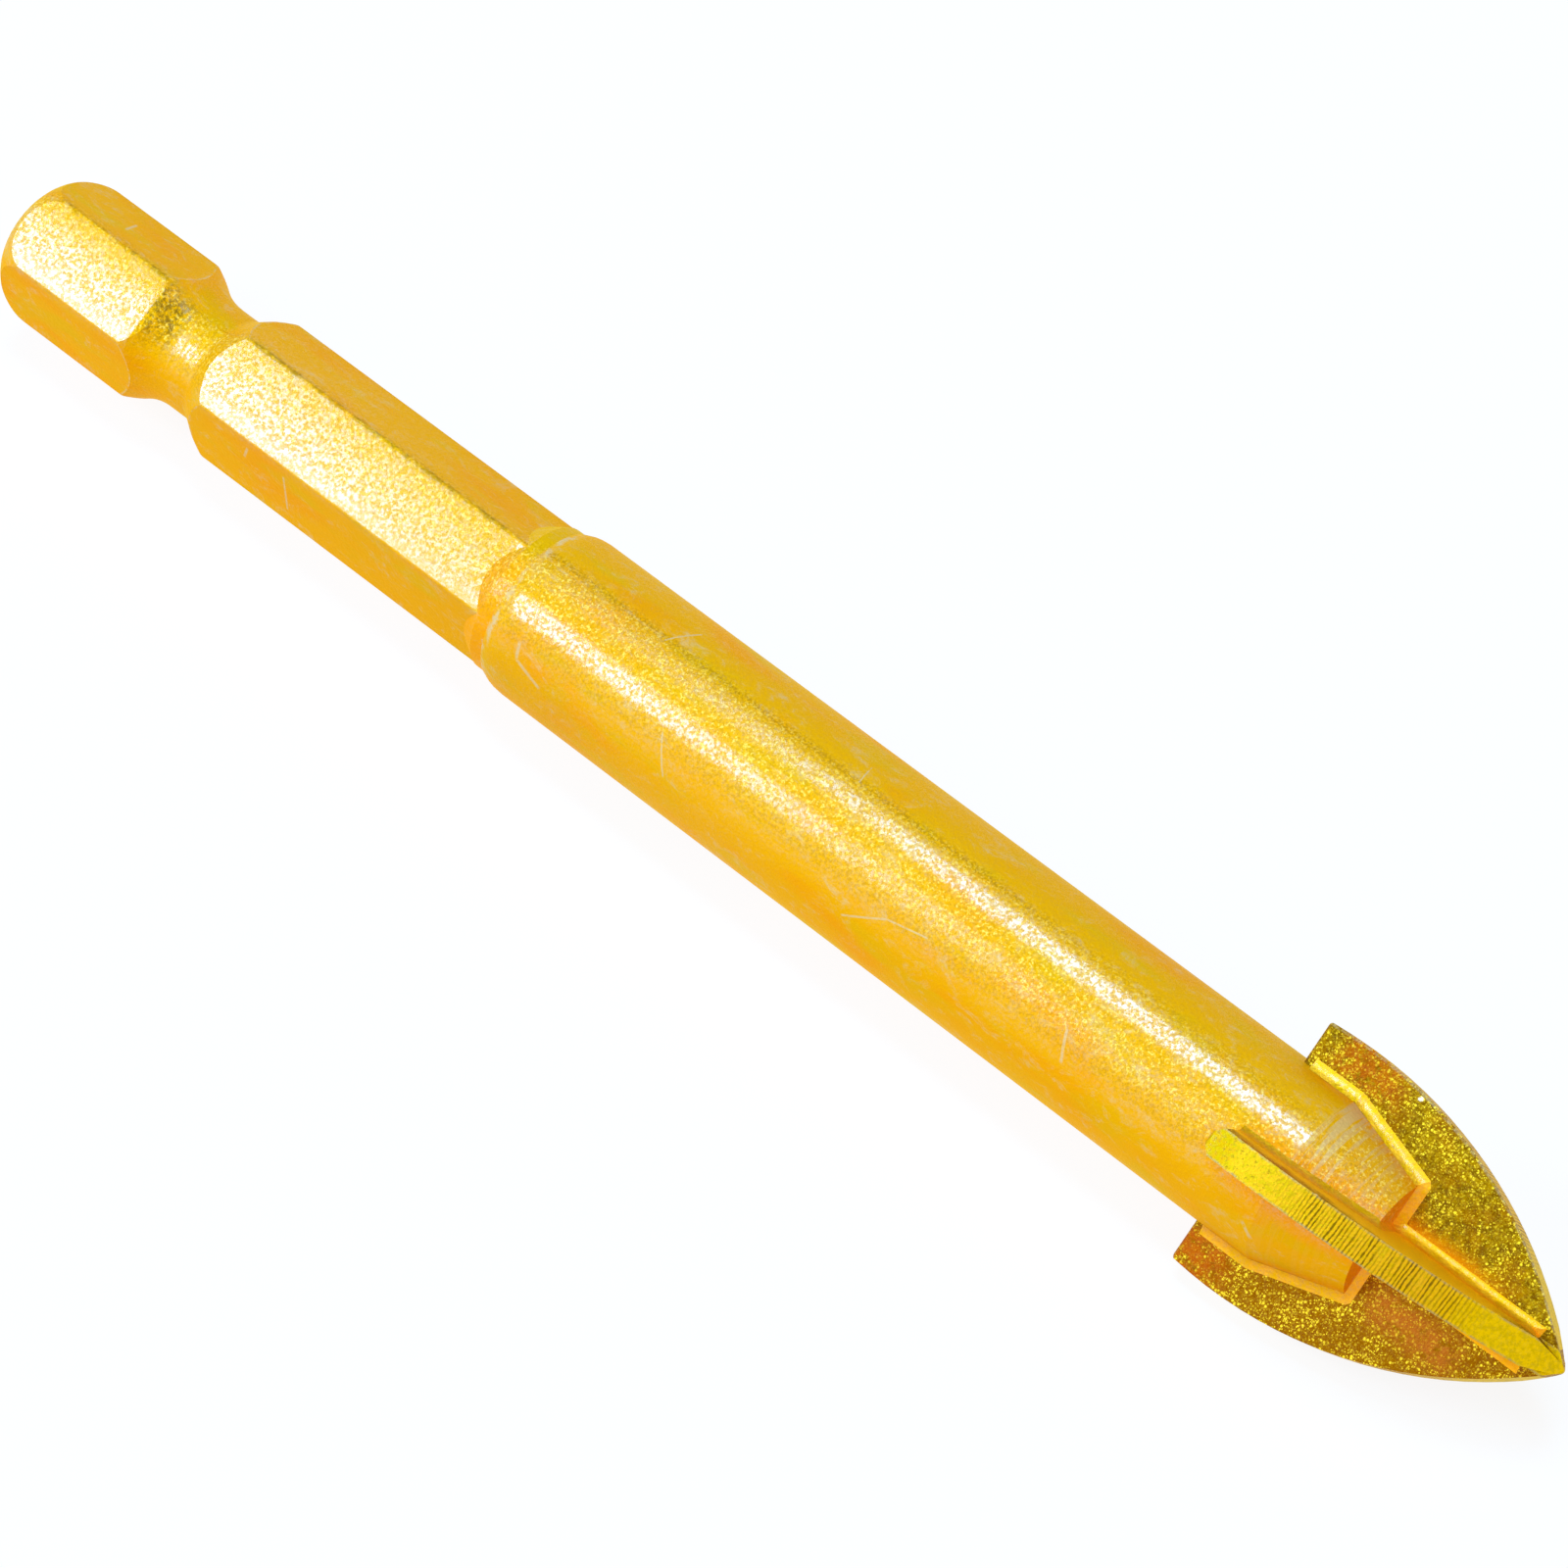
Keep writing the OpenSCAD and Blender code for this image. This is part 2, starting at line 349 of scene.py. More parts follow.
# %% Hues of the steel
AMBER = tone(242, 182, 4)
GOLDEN = tone(241, 184, 4)
FACING_GOLD = tone(242, 188, 4)
ORANGE = tone(246, 166, 4)
LIME = tone(230, 190, 4)
NECK_ORANGE = tone(248, 178, 4)
NECK_LIME = tone(236, 192, 4)

RIM = BACK_END + 31.0
NECK = RIM - 0.7
PLATES_START = BACK_END + 71.0
CONE_START = BACK_END + 73.8
PRONG_END = BACK_END + 77.95


def on_hexagon(at):
    """1 on the hexagon shank, and 0 from the neck on."""
    return smooth(at.along, NECK, NECK - 1)


def steel_colour(at):
    """Amber on the hexagon and golden on the body, with long patches of orange and lime."""
    patches = stretched(at.point, 0.35, 1)
    colour = mix(smooth(at.along, RIM - 0.3, RIM + 0.6), AMBER, GOLDEN)
    colour = mix(smooth(noise(patches, 0.5, 3), 0.46, 0.7) * 0.5, colour, ORANGE)
    colour = mix(smooth(noise(patches, 0.85, 3), 0.5, 0.7) * 0.45, colour, LIME)
    facing = band(at.turn, -29, 29, 2) * on_hexagon(at)
    colour = mix(facing * 0.7, colour, FACING_GOLD)
    to_plate = smaller(abs(at.up_spear), abs(at.up_wing))
    beside = smooth(to_plate, 1.9, 0.9) * smooth(at.along, PLATES_START - 0.5, PLATES_START + 1.5)
    ends = smooth(at.lean, 0.6, 0.8) * smooth(at.along, PRONG_END - 0.2, PRONG_END - 0.1)
    colour = mix(larger(beside * 0.7, ends), colour, ORANGE)
    run_out = band(at.along, NECK - 1.0, RIM, 0.1) * smooth(abs(at.lean), 0.08, 0.2)
    neck = band(at.along, NECK, RIM, 0.05)
    neck_hue = mix(smooth(at.turn, 6, 34) * 0.8, NECK_ORANGE, NECK_LIME)
    return mix(larger(run_out, neck), colour, neck_hue)


print(f"the body starts at {RIM:.1f} mm and its cone at {CONE_START:.1f} mm")

# %% [markdown]
# ## Turning marks
#
# A lathe leaves rings: in the groove that a holder locks into, and on the cone of the prongs.
# Grooves in the mesh would be far too fine to see. Noise that is squeezed along the bit and
# stretched round it gives rings of uneven strength, which only change the colour and the film.

# %% Rings in the groove and on the cone
GROOVE_REAR, GROOVE_REAR_SLOPE = BACK_END + 8.4, math.tan(math.radians(34))
GROOVE_FRONT, GROOVE_FRONT_SLOPE = BACK_END + 13.41, math.tan(math.radians(33))
GROOVE_FLOOR = BACK_END + 9.78


def groove_rear(at):
    """1 on the rear side of the groove and on the ends of the flats beside it."""
    start = smooth(at.along, GROOVE_REAR + 0.18, GROOVE_REAR + 0.3)
    return start * smooth(at.along, GROOVE_REAR + 2.2, GROOVE_REAR + 1.5)


def groove_marks_and_shade(at):
    """Turning marks, and painted shade as dark grains, on the side of the flat that faces up."""
    rings = noise(stretched(at.point, 5, 1.2), 1.0, 2, 0.6)
    grain = noise(at.point, GRAINS_PER_MM, 3, 0.7) + rings * 0.5
    return smooth(grain, 0.62, 0.9) * groove_rear(at) * band(at.turn, -12, 30, 12)


def groove_rings(at):
    """Dull rings on the groove's floor."""
    rings = smooth(noise(stretched(at.point, 5, 0.4), 1.0, 2), 0.56, 0.44)
    return rings * band(at.along, GROOVE_FLOOR - 0.2, GROOVE_FLOOR + 2.2, 0.3) * 0.8


def cone_marks(at):
    """Turning marks on the prongs, plain to see on one and faint on the others."""
    rings = smooth(noise(stretched(at.point, 4.5, 0.3), 1.0, 3, 0.6), 0.46, 0.58)
    on_cone = band(at.along, CONE_START, PRONG_END - 0.5, 0.15)
    clear = band(at.turn, -4, 76, 4) * 0.9 + 0.1
    fading = smooth(at.along, PRONG_END, CONE_START) * 0.7 + 0.3
    return rings * on_cone * clear * fading


print(f"the groove's floor starts at {GROOVE_FLOOR:.2f} mm")

# %% [markdown]
# ## Scratches
#
# The coating is soft enough to scratch. Noise could scatter scratches, but it can't put one
# where it is wanted. So the few long ones of this bit are drawn one by one, each from a place
# along and round the bit to another, with its half width in millimetres.

# %% Scratches from place to place
ARC_PER_DEGREE = math.radians(4.0)
SCRATCHES = [
    ((-10.65, -25), (-10.5, -36.5), 0.12),
    ((-10.5, -36.5), (-9.0, -44.5), 0.11),
    ((-5.4, 31), (-4.6, 53), 0.06),
    ((-2.8, -16), (-1.9, -41), 0.07),
    ((8.2, -43.5), (10.2, -26), 0.07),
    ((10.2, -26), (12.2, -20), 0.06),
    ((5.3, 48), (5.5, 32), 0.05),
    ((19.4, -12), (19.9, -32.5), 0.1),
    ((29.85, -46), (30.45, -55), 0.12),
    ((-38.8, 50), (-38.9, 66), 0.1),
    ((-27.1, -38), (-27.3, -50), 0.1),
    ((-24.9, -40), (-24.7, -76), 0.08),
]


def scratch(at, start, end, width):
    """A fine line on the steel, with degrees measured as arcs on the round body."""
    run_along = end[0] - start[0]
    run_round = (end[1] - start[1]) * ARC_PER_DEGREE
    length = math.hypot(run_along, run_round)
    from_along = at.along - start[0]
    from_round = (at.turn - start[1]) * ARC_PER_DEGREE
    down = from_along * (run_along / length) + from_round * (run_round / length)
    aside = abs(from_along * (run_round / length) - from_round * (run_along / length))
    return smooth(aside, width, width / 3) * band(down, 0, length, width)


print(len(SCRATCHES), "scratches")

# %% [markdown]
# ## Wear and painted shade
#
# Wear sits where a holder rubs: on the rims of the groove and the rear edge of the body, where
# the coating is rubbed through to pale metal. Painted shade runs along the hexagon's edges
# instead, darkest above the facing flat. The lines follow the sizes of the solid, and noise
# breaks each of them up, because an even line looks drawn. Fine scuffs are scattered all over by
# a twisted noise.

# %% Worn rims, scuffs and painted shade on the edges
HEX_CORNER = 3.606
PAINTED_SHADE_BROWN = tone(158, 114, 24)
WORN = tone(226, 204, 160)


def groove_rims(at):
    """A thin line on the flats, where they end at the groove."""
    on_flat = smooth(abs(at.lean), 0.2, 0.1)
    to_rear = HEX_CORNER - (at.along - GROOVE_REAR) * GROOVE_REAR_SLOPE - at.out
    to_front = HEX_CORNER - (GROOVE_FRONT - at.along) * GROOVE_FRONT_SLOPE - at.out
    rear = smooth(to_rear, 0.1, 0.03) * band(at.along, GROOVE_REAR - 0.3, GROOVE_REAR + 1, 0.1)
    front = smooth(to_front, 0.1, 0.03) * band(at.along, GROOVE_FRONT - 1, GROOVE_FRONT + 0.3, 0.1)
    rubbed = band(at.turn, -28, 28, 3)
    return larger(rear * (1 - rubbed), front * (1 - rubbed * 0.7)) * on_flat


def steel_wear(at):
    """Where the coating has rubbed through."""
    broken = noise(at.point, 2.6, 4, 0.7)
    ragged = (noise(at.point, 2.0, 5, 0.75) - 0.5) * 1.2
    rim = band(at.along + ragged, RIM + 0.05, RIM + 0.3, 0.1)
    rim = rim * smooth(noise(at.point, 1.4, 3), 0.42, 0.62)
    groove = groove_rims(at) * smooth(broken, 0.4, 0.6) * 0.7
    lines = larger(*[scratch(at, *one) for one in SCRATCHES]) * smooth(broken, 0.3, 0.5)
    scuffs = smooth(noise(stretched(at.point, 0.7, 1.3), 0.8, 6, 0.8, 1.0), 0.5, 0.66)
    scuffs = scuffs * smooth(broken, 0.35, 0.65) * 0.65
    return larger(rim, groove, lines, scuffs)


def painted_edge_shade(at):
    """Painted shade on the hexagon's edges, most on the edge above the flat that faces up."""
    before_neck = smooth(at.along, NECK - 0.2, NECK - 0.8)
    broken = smooth(noise(at.point, 2.0, 5, 0.75), 0.42, 0.62)
    most_shaded = band(at.turn, 20, 40, 2) * 0.8 + 0.2
    return smooth(at.out, HEX_CORNER - 0.1, HEX_CORNER) * before_neck * broken * most_shaded


print(f"the hexagon's edges are {HEX_CORNER} mm from the axis")

# %% [markdown]
# ## Dull film and painted glints
#
# On this bit the film shines on the facing flat and in two long bands on the body, and it is dull
# on the sides, in the groove's rear and on the neck. A mask of the dull places takes the coat's
# weight away there. Among the bright bands some grains are painted darker and some paler, as
# painted dark reflections and painted glints that bump alone can't show at this size, and the
# dark ones make a painted dark line along the upper band's upper edge.

# %% Where the film is dull, with painted dark reflections and glints
PAINTED_DARK_GRAIN = tone(190, 132, 4)
PAINTED_GLINT = tone(255, 222, 100)


def satin(at):
    """How dull the film is, on the sides, beside the bright bands, in the groove and on the neck."""
    on_hex = on_hexagon(at)
    on_body = 1 - on_hex
    below = smooth(at.turn, -22, -40) * smooth(at.turn, -120, -100)
    below = below * (1 - band(at.along, RIM, 4, 3) * 0.2)
    above = larger(smooth(at.turn, 40, 52), smooth(at.turn, 24, 56) * on_body)
    above = above * smooth(at.turn, 112, 92) * 0.75
    on_end = smooth(at.along, GROOVE_REAR + 0.6, GROOVE_REAR + 0.2)
    top = smooth(at.turn, -8, 30) * on_hex * (on_end * 0.3 + 0.6)
    beside = larger(band(at.turn, 0, 12, 4) * 0.75, band(at.turn, -26, -12, 3) * 0.35) * on_body
    rear = groove_rear(at) * band(at.turn, -45, 25, 6)
    neck = band(at.along, NECK, RIM, 0.1) * 0.8
    return larger(below, above, top, beside, rear, neck)


def painted_dark_grains(at):
    """Painted dark reflections: darker grains where the lamps shine, and a painted dark line along the
    upper band's upper edge.
    """
    fading = smooth(at.along, 24, 12) * 0.4 + 0.25
    painted_dark_line = band(at.turn, 29, 35, 4) * band(at.along, RIM, CONE_START - 0.5, 0.4) * fading
    grain = noise(at.point, GRAINS_PER_MM * 1.3, 3, 0.7) + painted_dark_line * 0.06
    return smooth(grain, 0.44, 0.6) * larger(band(at.turn, -26, 36, 6) * 0.35, painted_dark_line)


def painted_glints(at):
    """Painted glints: paler grains where the lamps shine, and on the prong that shows its turning
    marks.
    """
    on_cone = band(at.along, CONE_START + 0.8, PRONG_END, 0.3) * band(at.turn, -4, 70, 5)
    where = larger(band(at.turn, -16, 32, 10), on_cone)
    return smooth(noise(at.point, GRAINS_PER_MM * 1.1, 3, 0.7), 0.52, 0.64) * where * 0.9


print("film and grains ready")

# %% [markdown]
# ## The whole steel finish
#
# The layers now go on: the coating with its grains, painted dark reflections and painted glints,
# then the turning marks and painted shade, then the pale wear. The lowest part of the facing flat
# is a little more polished, and the flat's shine fades towards the body.

# %% Dress the shank
FILM_LEAST, FILM_MOST = 0.05, 0.46


def steel_finish():
    material, at = new_finish("gold_steel_finish")
    # Painted dark reflections and painted glints among the grains where the lamps shine.
    colour = mix(painted_dark_grains(at), steel_colour(at), PAINTED_DARK_GRAIN)
    colour = mix(painted_glints(at), colour, PAINTED_GLINT)
    # Painted shade: dark grains with turning marks in the groove's rear, and along the hexagon's
    # edges.
    colour = mix(larger(groove_marks_and_shade(at) * 0.9, painted_edge_shade(at) * 0.5), colour, PAINTED_SHADE_BROWN)
    colour = mix(larger(steel_wear(at) * 0.65, cone_marks(at) * 0.5), colour, WORN)
    polished = band(at.turn, -32, -20, 8) * on_hexagon(at) * 0.14
    fading = smooth(at.along, GROOVE_FRONT, NECK) * on_hexagon(at) * 0.5
    film = (sparkle(at, FILM_LEAST, FILM_MOST) + polished) * (1 - satin(at))
    film = film * (1 - larger(fading, groove_rings(at)))
    coat(material, colour, METAL_ROUGHNESS, grain_normal(at, GRAINS_PER_MM), film)
    return material


def dress(name, material):
    """Gives a piece of the frame its finish."""
    piece = frame["nodes"][name]
    piece.data.materials.clear()
    piece.data.materials.append(material)
    print(name, "wears", material.name, "with", len(material.node_tree.nodes), "nodes")


dress("shank", steel_finish())

# %% [markdown]
# ## The carbide's grains
#
# Carbide is sintered from powder, so its flat faces have a coarser, darker glitter than the
# steel. Each grain is either bright or dull. A smooth noise has no single grains, so the flecks
# are the round cells of a Voronoi texture, and each cell's own chance sets its brightness.

# %% Flecks of two sizes
FLECKS_PER_MM = 7.0


def grains(at, per_mm, crowd):
    """Round grains, each as bright as its own chance makes it."""
    cells = {"Vector": at.point, "Scale": per_mm}
    away = at.point.node("ShaderNodeTexVoronoi", None, cells, "Distance")
    chance = at.part(at.point.node("ShaderNodeTexVoronoi", None, cells, "Color"), "X")
    return smooth(away, 0.6, 0.2) * smooth(chance + crowd, 0.7, 1.1)


def flecks(at):
    """Bright grains, thicker in some places than in others, and finer dust between them."""
    crowd = smooth(noise(at.point, 0.8, 3), 0.35, 0.65) * 0.3
    coarse = grains(at, FLECKS_PER_MM, crowd)
    fine = grains(at, FLECKS_PER_MM * 1.9, crowd)
    dust = smooth(noise(at.point, FLECKS_PER_MM * 1.7, 2, 0.6), 0.5, 0.72) * 0.3
    return larger(coarse, fine, dust)


print("the larger flecks are", round(1 / FLECKS_PER_MM, 2), "mm apart")

# %% [markdown]
# ## The plates' flat faces
#
# Under the flecks the flat faces are olive, browner on their lower half, and rusty where heat
# has thickened the film: at the shoulders and in one long patch. Beside the seams the faces turn
# orange towards the bead, and near the upper edge a chip shows white. The brazing metal has also
# run up the near half of the spear plate and wetted it, and there its gold is painted brighter,
# as painted light bounced into the corner between the plates. One large noise could colour the
# faces, but these patches have places of their own, so each is a soft box with a ragged edge.

# %% Olive, rust and a chip
OLIVE = tone(122, 80, 1)
LIGHT_OLIVE = tone(174, 128, 1)
BROWN = tone(150, 84, 1)
RUST = tone(184, 86, 8)
RUSTY_TAN = tone(186, 100, 24)
SEAM_ORANGE = tone(238, 142, 4)
GLINT = tone(255, 216, 44)
CHIP = (32.45, 5.56)
CHIP_AREA = 0.015
CHIP_WHITE = tone(255, 244, 210)


def flat_face_colour(at, up):
    """Olive with bright flecks, rusty patches, orange beside the seam and a white chip."""
    colour = mix(smooth(noise(at.point, 2.4, 5, 0.75), 0.38, 0.66), OLIVE, LIGHT_OLIVE)
    clouds = smooth(noise(at.point, 0.6, 3), 0.45, 0.65)
    colour = mix(larger(smooth(up, 0.5, -0.5) * 0.8, clouds * 0.5), colour, BROWN)
    upper = band(at.along, PLATES_START + 1.0, PLATES_START + 4.2, 0.6) * smooth(up, 4.2, 4.7)
    lower = band(at.along, PLATES_START - 1, PLATES_START + 2.2, 1.0) * smooth(up, -4.0, -4.5)
    patch = band(at.along, PLATES_START + 7.9, PLATES_START + 12.2, 0.7) * band(up, -3.0, -1.5, 0.6)
    ragged = smooth(noise(at.point, 2.0, 4, 0.7), 0.3, 0.55)
    rust = larger(upper * 0.8, lower) * ragged
    colour = mix(rust * 0.9, colour, RUST)
    colour = mix(patch * ragged * 0.85, colour, RUSTY_TAN)
    seam = smooth(at.along, PRONG_END - 0.2, PRONG_END + 0.8) * band(up, 0, 1.4, 0.5)
    seam = seam * smooth(at.along, PRONG_END + 6.5, PRONG_END + 3)
    colour = mix(seam * 0.9, colour, SEAM_ORANGE)
    colour = mix(flecks(at) * (1 - larger(seam, rust, patch) * 0.6), colour, GLINT)
    chip_along, chip_up = at.along - CHIP[0], up - CHIP[1]
    ragged_chip = (noise(at.point, 5, 2) - 0.5) * 0.04
    from_chip = chip_along * chip_along + chip_up * chip_up + ragged_chip
    return mix(smooth(from_chip, CHIP_AREA, 0.0), colour, CHIP_WHITE)


def wetted(at):
    """1 where the brazing metal has wetted the near half of the spear plate, painted brighter as
    bounced light.
    """
    ragged = (noise(at.point, 1.2, 4, 0.7) - 0.5) * 2
    height = smooth(at.up_spear + ragged, 5.8, 4.4) * smooth(at.up_spear, 0, 0.4)
    return height * smooth(at.along + ragged, PRONG_END + 7.5, PRONG_END + 5.5)


print(f"the chip is {CHIP[0]} mm along and {CHIP[1]} mm up its plate")

# %% [markdown]
# ## The plates' ground faces
#
# The narrow faces were ground with a wheel that left fine lines across them. The lines are
# strongest in the middle, and the rear end is golden and speckled instead. A sine wave along the
# bit gives lines at an even spacing, as a wheel does, and noise then makes them wander and fade.

# %% Ruled lines
LINES_FROM, LINES_TO = PLATES_START + 4.2, PLATES_START + 12.0
LINE_SPACING = 0.17
GROUND_GOLD = tone(236, 180, 24)
GROUND_REAR = tone(214, 160, 4)
GROUND_FRONT = tone(236, 196, 1)
GROUND_CLOUD = tone(200, 170, 4)
GROUND_SPECK = tone(150, 112, 4)
BETWEEN_LINES = tone(232, 174, 6)
IN_LINES = tone(108, 80, 4)


def ground_face_colour(at):
    """Golden and speckled at the rear, ruled with dark lines in the middle, lime in front."""
    wander = noise(stretched(at.point, 1, 0.3), 2.0, 3) * 9
    ruled = at.point.maths("SINE", at.along * (2 * math.pi / LINE_SPACING) + wander)
    strong = smooth(noise(stretched(at.point, 1.6, 0.25), 1.0, 3), 0.32, 0.62)
    depth = band(at.along, LINES_FROM, LINES_TO, 1.4) * (strong * 0.75 + 0.25)
    front = smooth(at.along, LINES_TO - 2, LINES_TO)
    rear = smooth(at.along, PLATES_START + 1.8, PLATES_START + 0.8)
    colour = mix(rear, GROUND_GOLD, GROUND_REAR)
    colour = mix(front, colour, GROUND_FRONT)
    clouds = smooth(noise(at.point, 4.5, 4, 0.75), 0.42, 0.6)
    colour = mix(clouds * 0.7, colour, GROUND_CLOUD)
    specks = smooth(noise(at.point, 6, 3, 0.75), 0.54, 0.68)
    specks = specks * smooth(at.along, LINES_FROM + 1, LINES_FROM - 2)
    colour = mix(specks * 0.7, colour, GROUND_SPECK)
    colour = mix(depth * 0.6, colour, BETWEEN_LINES)
    lines = smooth(ruled + (noise(at.point, 7, 2) - 0.5) * 2, -0.2, 1.0)
    return mix(lines * depth * 0.9, colour, IN_LINES)


print("about", round((LINES_TO - LINES_FROM) / LINE_SPACING), "ruled lines")

# %% [markdown]
# ## The whole carbide finish
#
# The flat and the ground faces of a plate are told apart by the direction they look in, so one
# finish serves the whole plate with no second material. Tiny chips make a thin pale line along
# each edge, and the distance to the edge comes from the plate's own outline, which is an arc.
# The carbide is a little smoother than the steel and has hardly any film.

# %% Dress the plates
HEAD_RADIUS = 6.0
POINT_RADIUS = 0.3
HALF_THICKNESS = 0.665
WIDEST = PLATES_START + 2.0
NOSE = POINT - WIDEST
EDGE_ARC = ((NOSE - POINT_RADIUS) ** 2 / (HEAD_RADIUS - POINT_RADIUS) + HEAD_RADIUS + POINT_RADIUS) / 2
SMOOTHER_ROUGHNESS = METAL_ROUGHNESS - 0.2
WETTED_AND_BOUNCE_GOLD = tone(255, 200, 10)
CHIPPED = tone(176, 148, 100)


def outline(at):
    """Half the plate's width at this place along the bit."""
    behind = at.along - WIDEST
    return at.point.maths("SQRT", EDGE_ARC ** 2 - behind * behind) + (HEAD_RADIUS - EDGE_ARC)


def carbide_finish(name, up_plate, across_plate, normal_sign, braze):
    """The finish of one plate. Its directions are named, and braze says if it was wetted and painted
    brighter.
    """
    material, at = new_finish(name)
    up, across = getattr(at, up_plate), getattr(at, across_plate)
    looks_across = abs(at.normal_height + at.normal_side * normal_sign) * AT_45
    flat = smooth(looks_across, 0.5, 0.75)
    dull = 1 - flecks(at) * 0.5
    # The wetted strip's gold is painted brighter, as painted light bounced into the corner between the
    # plates.
    sides = mix(wetted(at) * dull * braze, flat_face_colour(at, up), WETTED_AND_BOUNCE_GOLD)
    colour = mix(flat, ground_face_colour(at), sides)
    to_outline = outline(at) - abs(up) + (1 - flat)
    to_side = HALF_THICKNESS - abs(across) + flat
    chips = smooth(smaller(to_outline, to_side), 0.12, 0.03)
    chips = chips * smooth(noise(at.point, 3.2, 4, 0.7), 0.36, 0.62)
    colour = mix(chips * 0.7, colour, CHIPPED)
    film = sparkle(at, 0.0, 0.03)
    coat(material, colour, SMOOTHER_ROUGHNESS, grain_normal(at, FLECKS_PER_MM * 1.4), film)
    return material


dress("spear_plate", carbide_finish("gold_carbide_spear", "up_spear", "up_wing", 1, 1.0))
wing_carbide = carbide_finish("gold_carbide_wings", "up_wing", "up_spear", -1, 0.0)
dress("upper_wing_plate", wing_carbide)
dress("lower_wing_plate", wing_carbide)

# %% [markdown]
# ## The brazing metal
#
# The brazing metal ran into the corners as a liquid, so its surface is smooth and a little
# lumpy. It took the coating well and shows as a paler gold seam between steel and carbide, and
# as a more orange one in the corners of the cross. The lumps are bump, because the bead itself
# is already a solid, and a slow noise is enough to make its shine uneven.

# %% Dress the seams
PALE_GOLD = tone(250, 182, 36)
BEAD_GRAIN = tone(214, 146, 8)
CORNER_ORANGE = tone(250, 172, 4)


def braze_finish():
    material, at = new_finish("gold_braze_finish")
    lumps = noise(at.point, 1.6, 3)
    colour = mix(smooth(lumps, 0.4, 0.62), PALE_GOLD, AMBER)
    grain = smooth(noise(at.point, GRAINS_PER_MM, 3, 0.7), 0.46, 0.66)
    colour = mix(grain * 0.4, colour, BEAD_GRAIN)
    corner = smooth(at.along, PRONG_END + 0.3, PRONG_END + 1.0)
    colour = mix(corner * 0.6, colour, CORNER_ORANGE)
    film = sparkle(at, 0.02, 0.18) * (1 - corner * 0.6)
    coat(material, colour, SMOOTHER_ROUGHNESS, grain_normal(at, GRAINS_PER_MM, lumps * 2), film)
    return material


dress("braze_beads", braze_finish())

# %% [markdown]
# ## The light
#
# Metal shows its surroundings more than itself. White walls all round give every face its plain
# amber. Two soft boxes then draw the highlights: one beyond the shank, which fills the facing
# flat of the hexagon, and a narrower one higher up, which draws the long line towards the head.
# Their light is cool, like daylight: on gold a cool lamp makes a cream highlight, and a warm
# one makes it lemon. Each box is given as it looks from the bit, so its size follows its place.

# %% Two soft boxes
DAYLIGHT = (0.3, 0.6, 1.0)
LAMP_DISTANCE = 0.35
LAMP_BRIGHTNESS = 16.2


def soft_box(name, aim_mm, swing, turn, across, along):
    """A lamp that looks so many degrees wide and long from a place on the bit."""
    toward = direction(swing, turn)
    side = (ALONG - toward * ALONG.dot(toward)).normalized()
    lamp = bpy.data.lights.new(name, "AREA")
    lamp.shape = "RECTANGLE"
    lamp.size = 2 * LAMP_DISTANCE * math.tan(math.radians(across / 2))
    lamp.size_y = 2 * LAMP_DISTANCE * math.tan(math.radians(along / 2))
    lamp.energy = LAMP_BRIGHTNESS * math.pi * lamp.size * lamp.size_y
    lamp.color = DAYLIGHT
    made = bpy.data.objects.new(name, lamp)
    bpy.context.scene.collection.objects.link(made)
    facing = Matrix((side.cross(toward), side, toward)).transposed().to_4x4()
    made.matrix_world = Matrix.Translation(on_axis(aim_mm) + toward * LAMP_DISTANCE) @ facing
    print(name, "at", [round(c, 3) for c in made.location])


soft_box("shank_box", aim_mm=-22, swing=-29, turn=-11, across=26, along=22)
soft_box("head_box", aim_mm=22, swing=-10, turn=38, across=20, along=26)

# %% [markdown]
# ## The room
#
# The background is white. The room's walls are white for reflections, and dimmer as a source of
# light, so the soft boxes still shape the bit. One corner of the room is dark, up and beyond the
# bit, which draws the darker band beside the long highlight, and the wall below it is brighter.
# A picture of a room would do this too, but two soft spots in the world's shader are enough.

# %% White walls with a dark corner
WHITE = (1, 1, 1, 1)
ROOM_LIGHT = 0.5
DARK_CORNER = direction(-15, 72)
BRIGHT_WALL = direction(-15, 140)


def seen_by_mirrors(root):
    """1 for rays from the camera, a mirror or a lens, and 0 for light that spreads."""
    kinds = ("Is Camera Ray", "Is Glossy Ray", "Is Transmission Ray")
    return larger(*[root.node("ShaderNodeLightPath", output=kind) for kind in kinds])


def nearness(gaze, spot):
    """1 where the gaze meets the spot, falling to 0 at a right angle to it."""
    both = {0: gaze, 1: spot}
    return gaze.node("ShaderNodeVectorMath", {"operation": "DOT_PRODUCT"}, both, "Value")


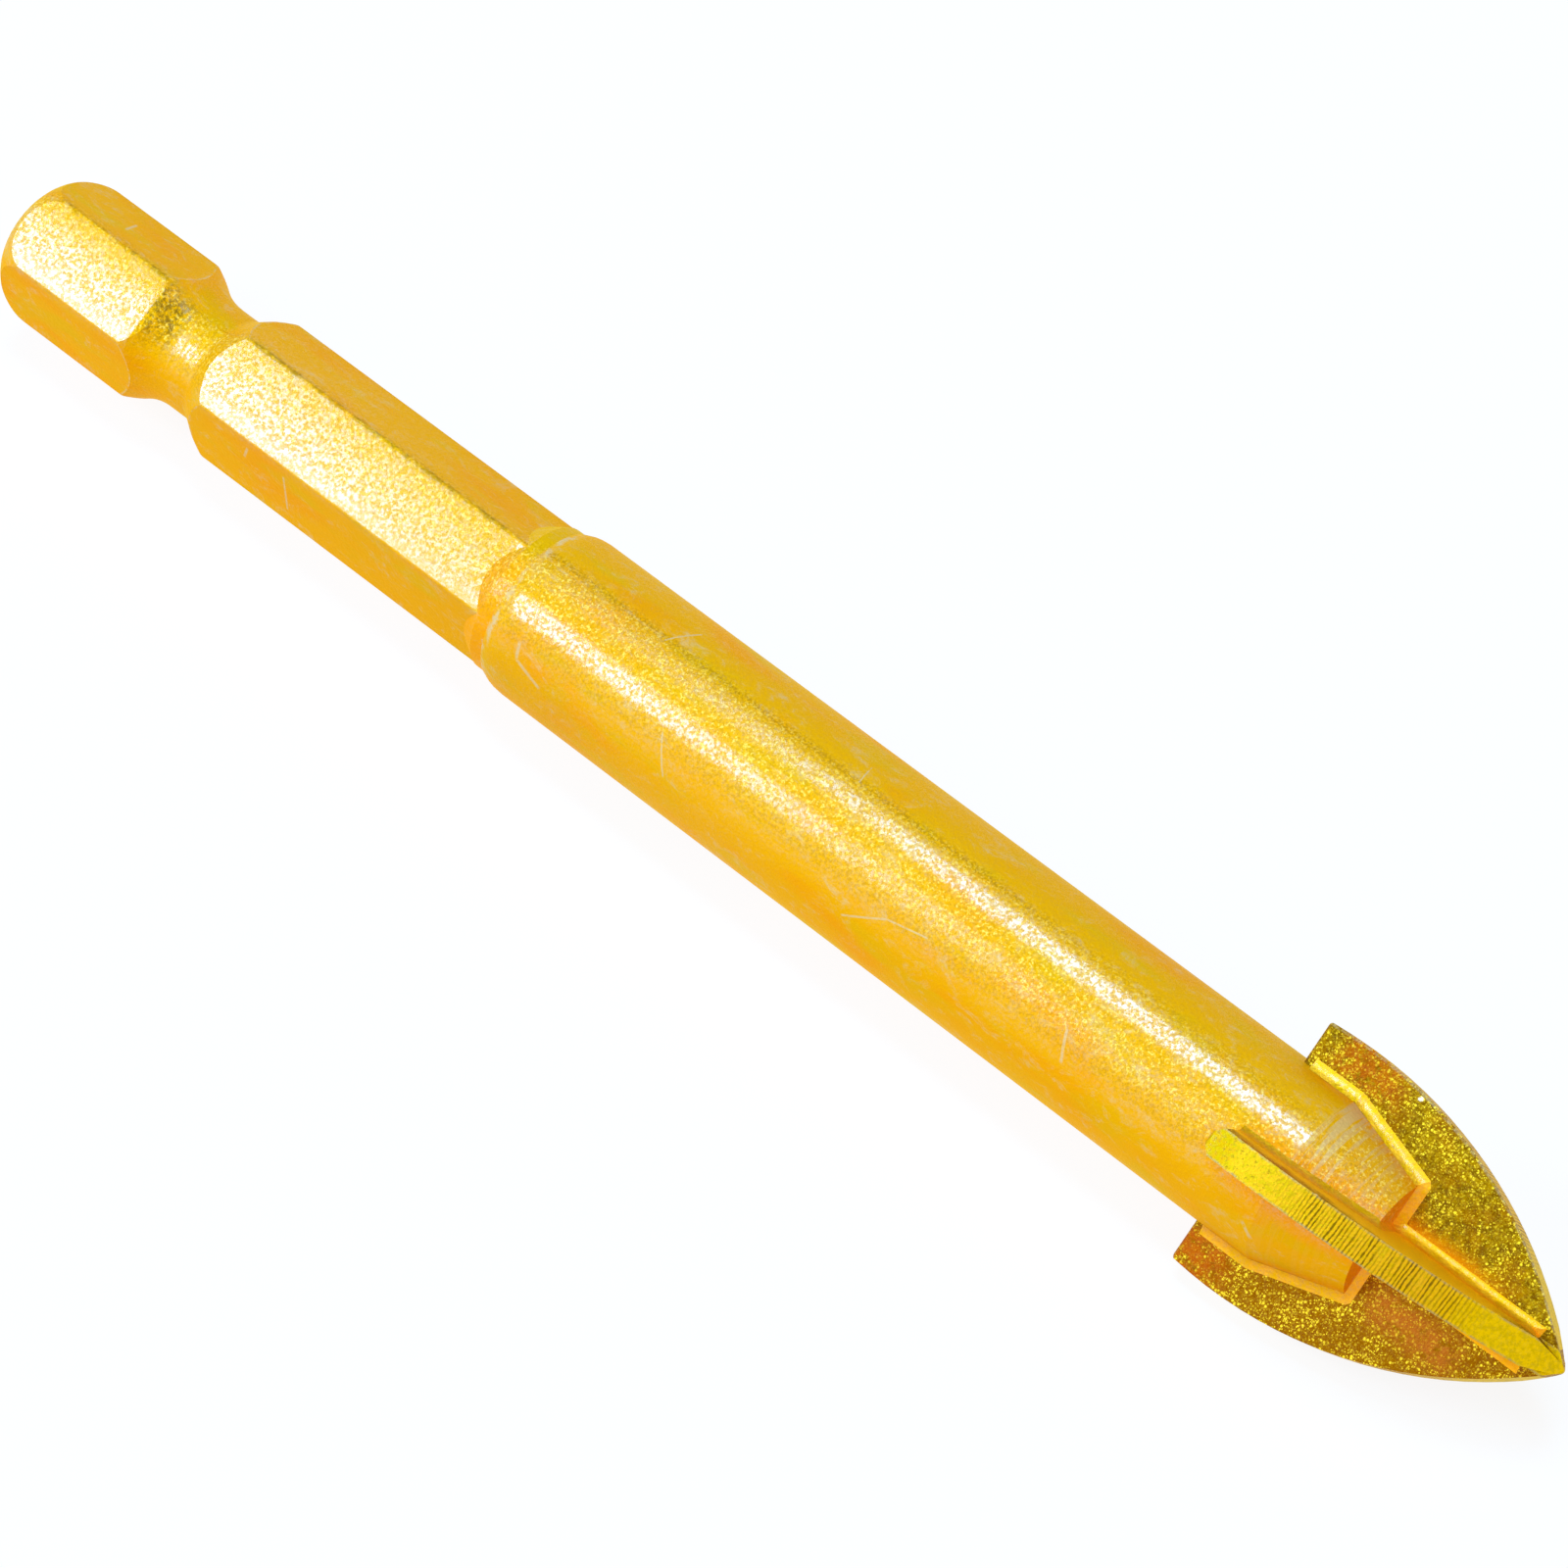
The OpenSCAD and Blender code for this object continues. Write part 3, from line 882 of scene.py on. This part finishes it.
def white_room():
    world = bpy.data.worlds.new("white_room")
    world.use_nodes = True
    world.node_tree.nodes.clear()
    root = Wire(world.node_tree)
    gaze = root.node("ShaderNodeTexCoord", output="Generated")
    dark = smooth(nearness(gaze, DARK_CORNER), 0.66, 0.94) * 0.95
    bright = smooth(nearness(gaze, BRIGHT_WALL), 0.5, 0.95) * 0.5
    strength = (seen_by_mirrors(root) * (1 - ROOM_LIGHT) + ROOM_LIGHT) * (1 - dark + bright)
    walls = root.node("ShaderNodeBackground", None, {"Color": WHITE, "Strength": strength})
    root.node("ShaderNodeOutputWorld", None, {"Surface": walls}, None)
    return world


bpy.context.scene.world = white_room()
bpy.context.scene.view_settings.view_transform = "Standard"
print("the walls give", ROOM_LIGHT, "of the light that they show")

# %% [markdown]
# ## The floor
#
# The bit lies on white paper. Plain white paper would show grey under soft light, and a
# background without a floor would leave the bit floating. So the paper keeps a soft shadow and
# glows a little for the same rays that see the walls as white, and so it meets them unseen.

# %% White paper
PAPER_SIZE = 2.0
PAPER_DROP = 0.02 * MM
PAPER_COLOUR = (0.9, 0.85, 0.78, 1)
PAPER_GLOW = 1.04
GLOW_SHARE = 0.85


def white_paper():
    material = empty_material("white_paper")
    root = Wire(material.node_tree)
    matt = root.node("ShaderNodeBsdfDiffuse", None, {"Color": PAPER_COLOUR})
    glow = root.node("ShaderNodeEmission", None, {"Color": WHITE, "Strength": PAPER_GLOW})
    share = seen_by_mirrors(root) * GLOW_SHARE
    both = root.node("ShaderNodeMixShader", None, {0: share, 1: matt, 2: glow})
    root.node("ShaderNodeOutputMaterial", None, {"Surface": both}, None)
    return material


sheet = bmesh.new()
bmesh.ops.create_grid(sheet, x_segments=1, y_segments=1, size=PAPER_SIZE)
bmesh.ops.translate(sheet, vec=(0, 0, cad_low.z - PAPER_DROP), verts=sheet.verts)
paper_mesh = bpy.data.meshes.new("paper")
sheet.to_mesh(paper_mesh)
sheet.free()
paper_mesh.materials.append(white_paper())
paper = bpy.data.objects.new("paper", paper_mesh)
bpy.context.scene.collection.objects.link(paper)
print("paper", 2 * PAPER_SIZE, "m wide")
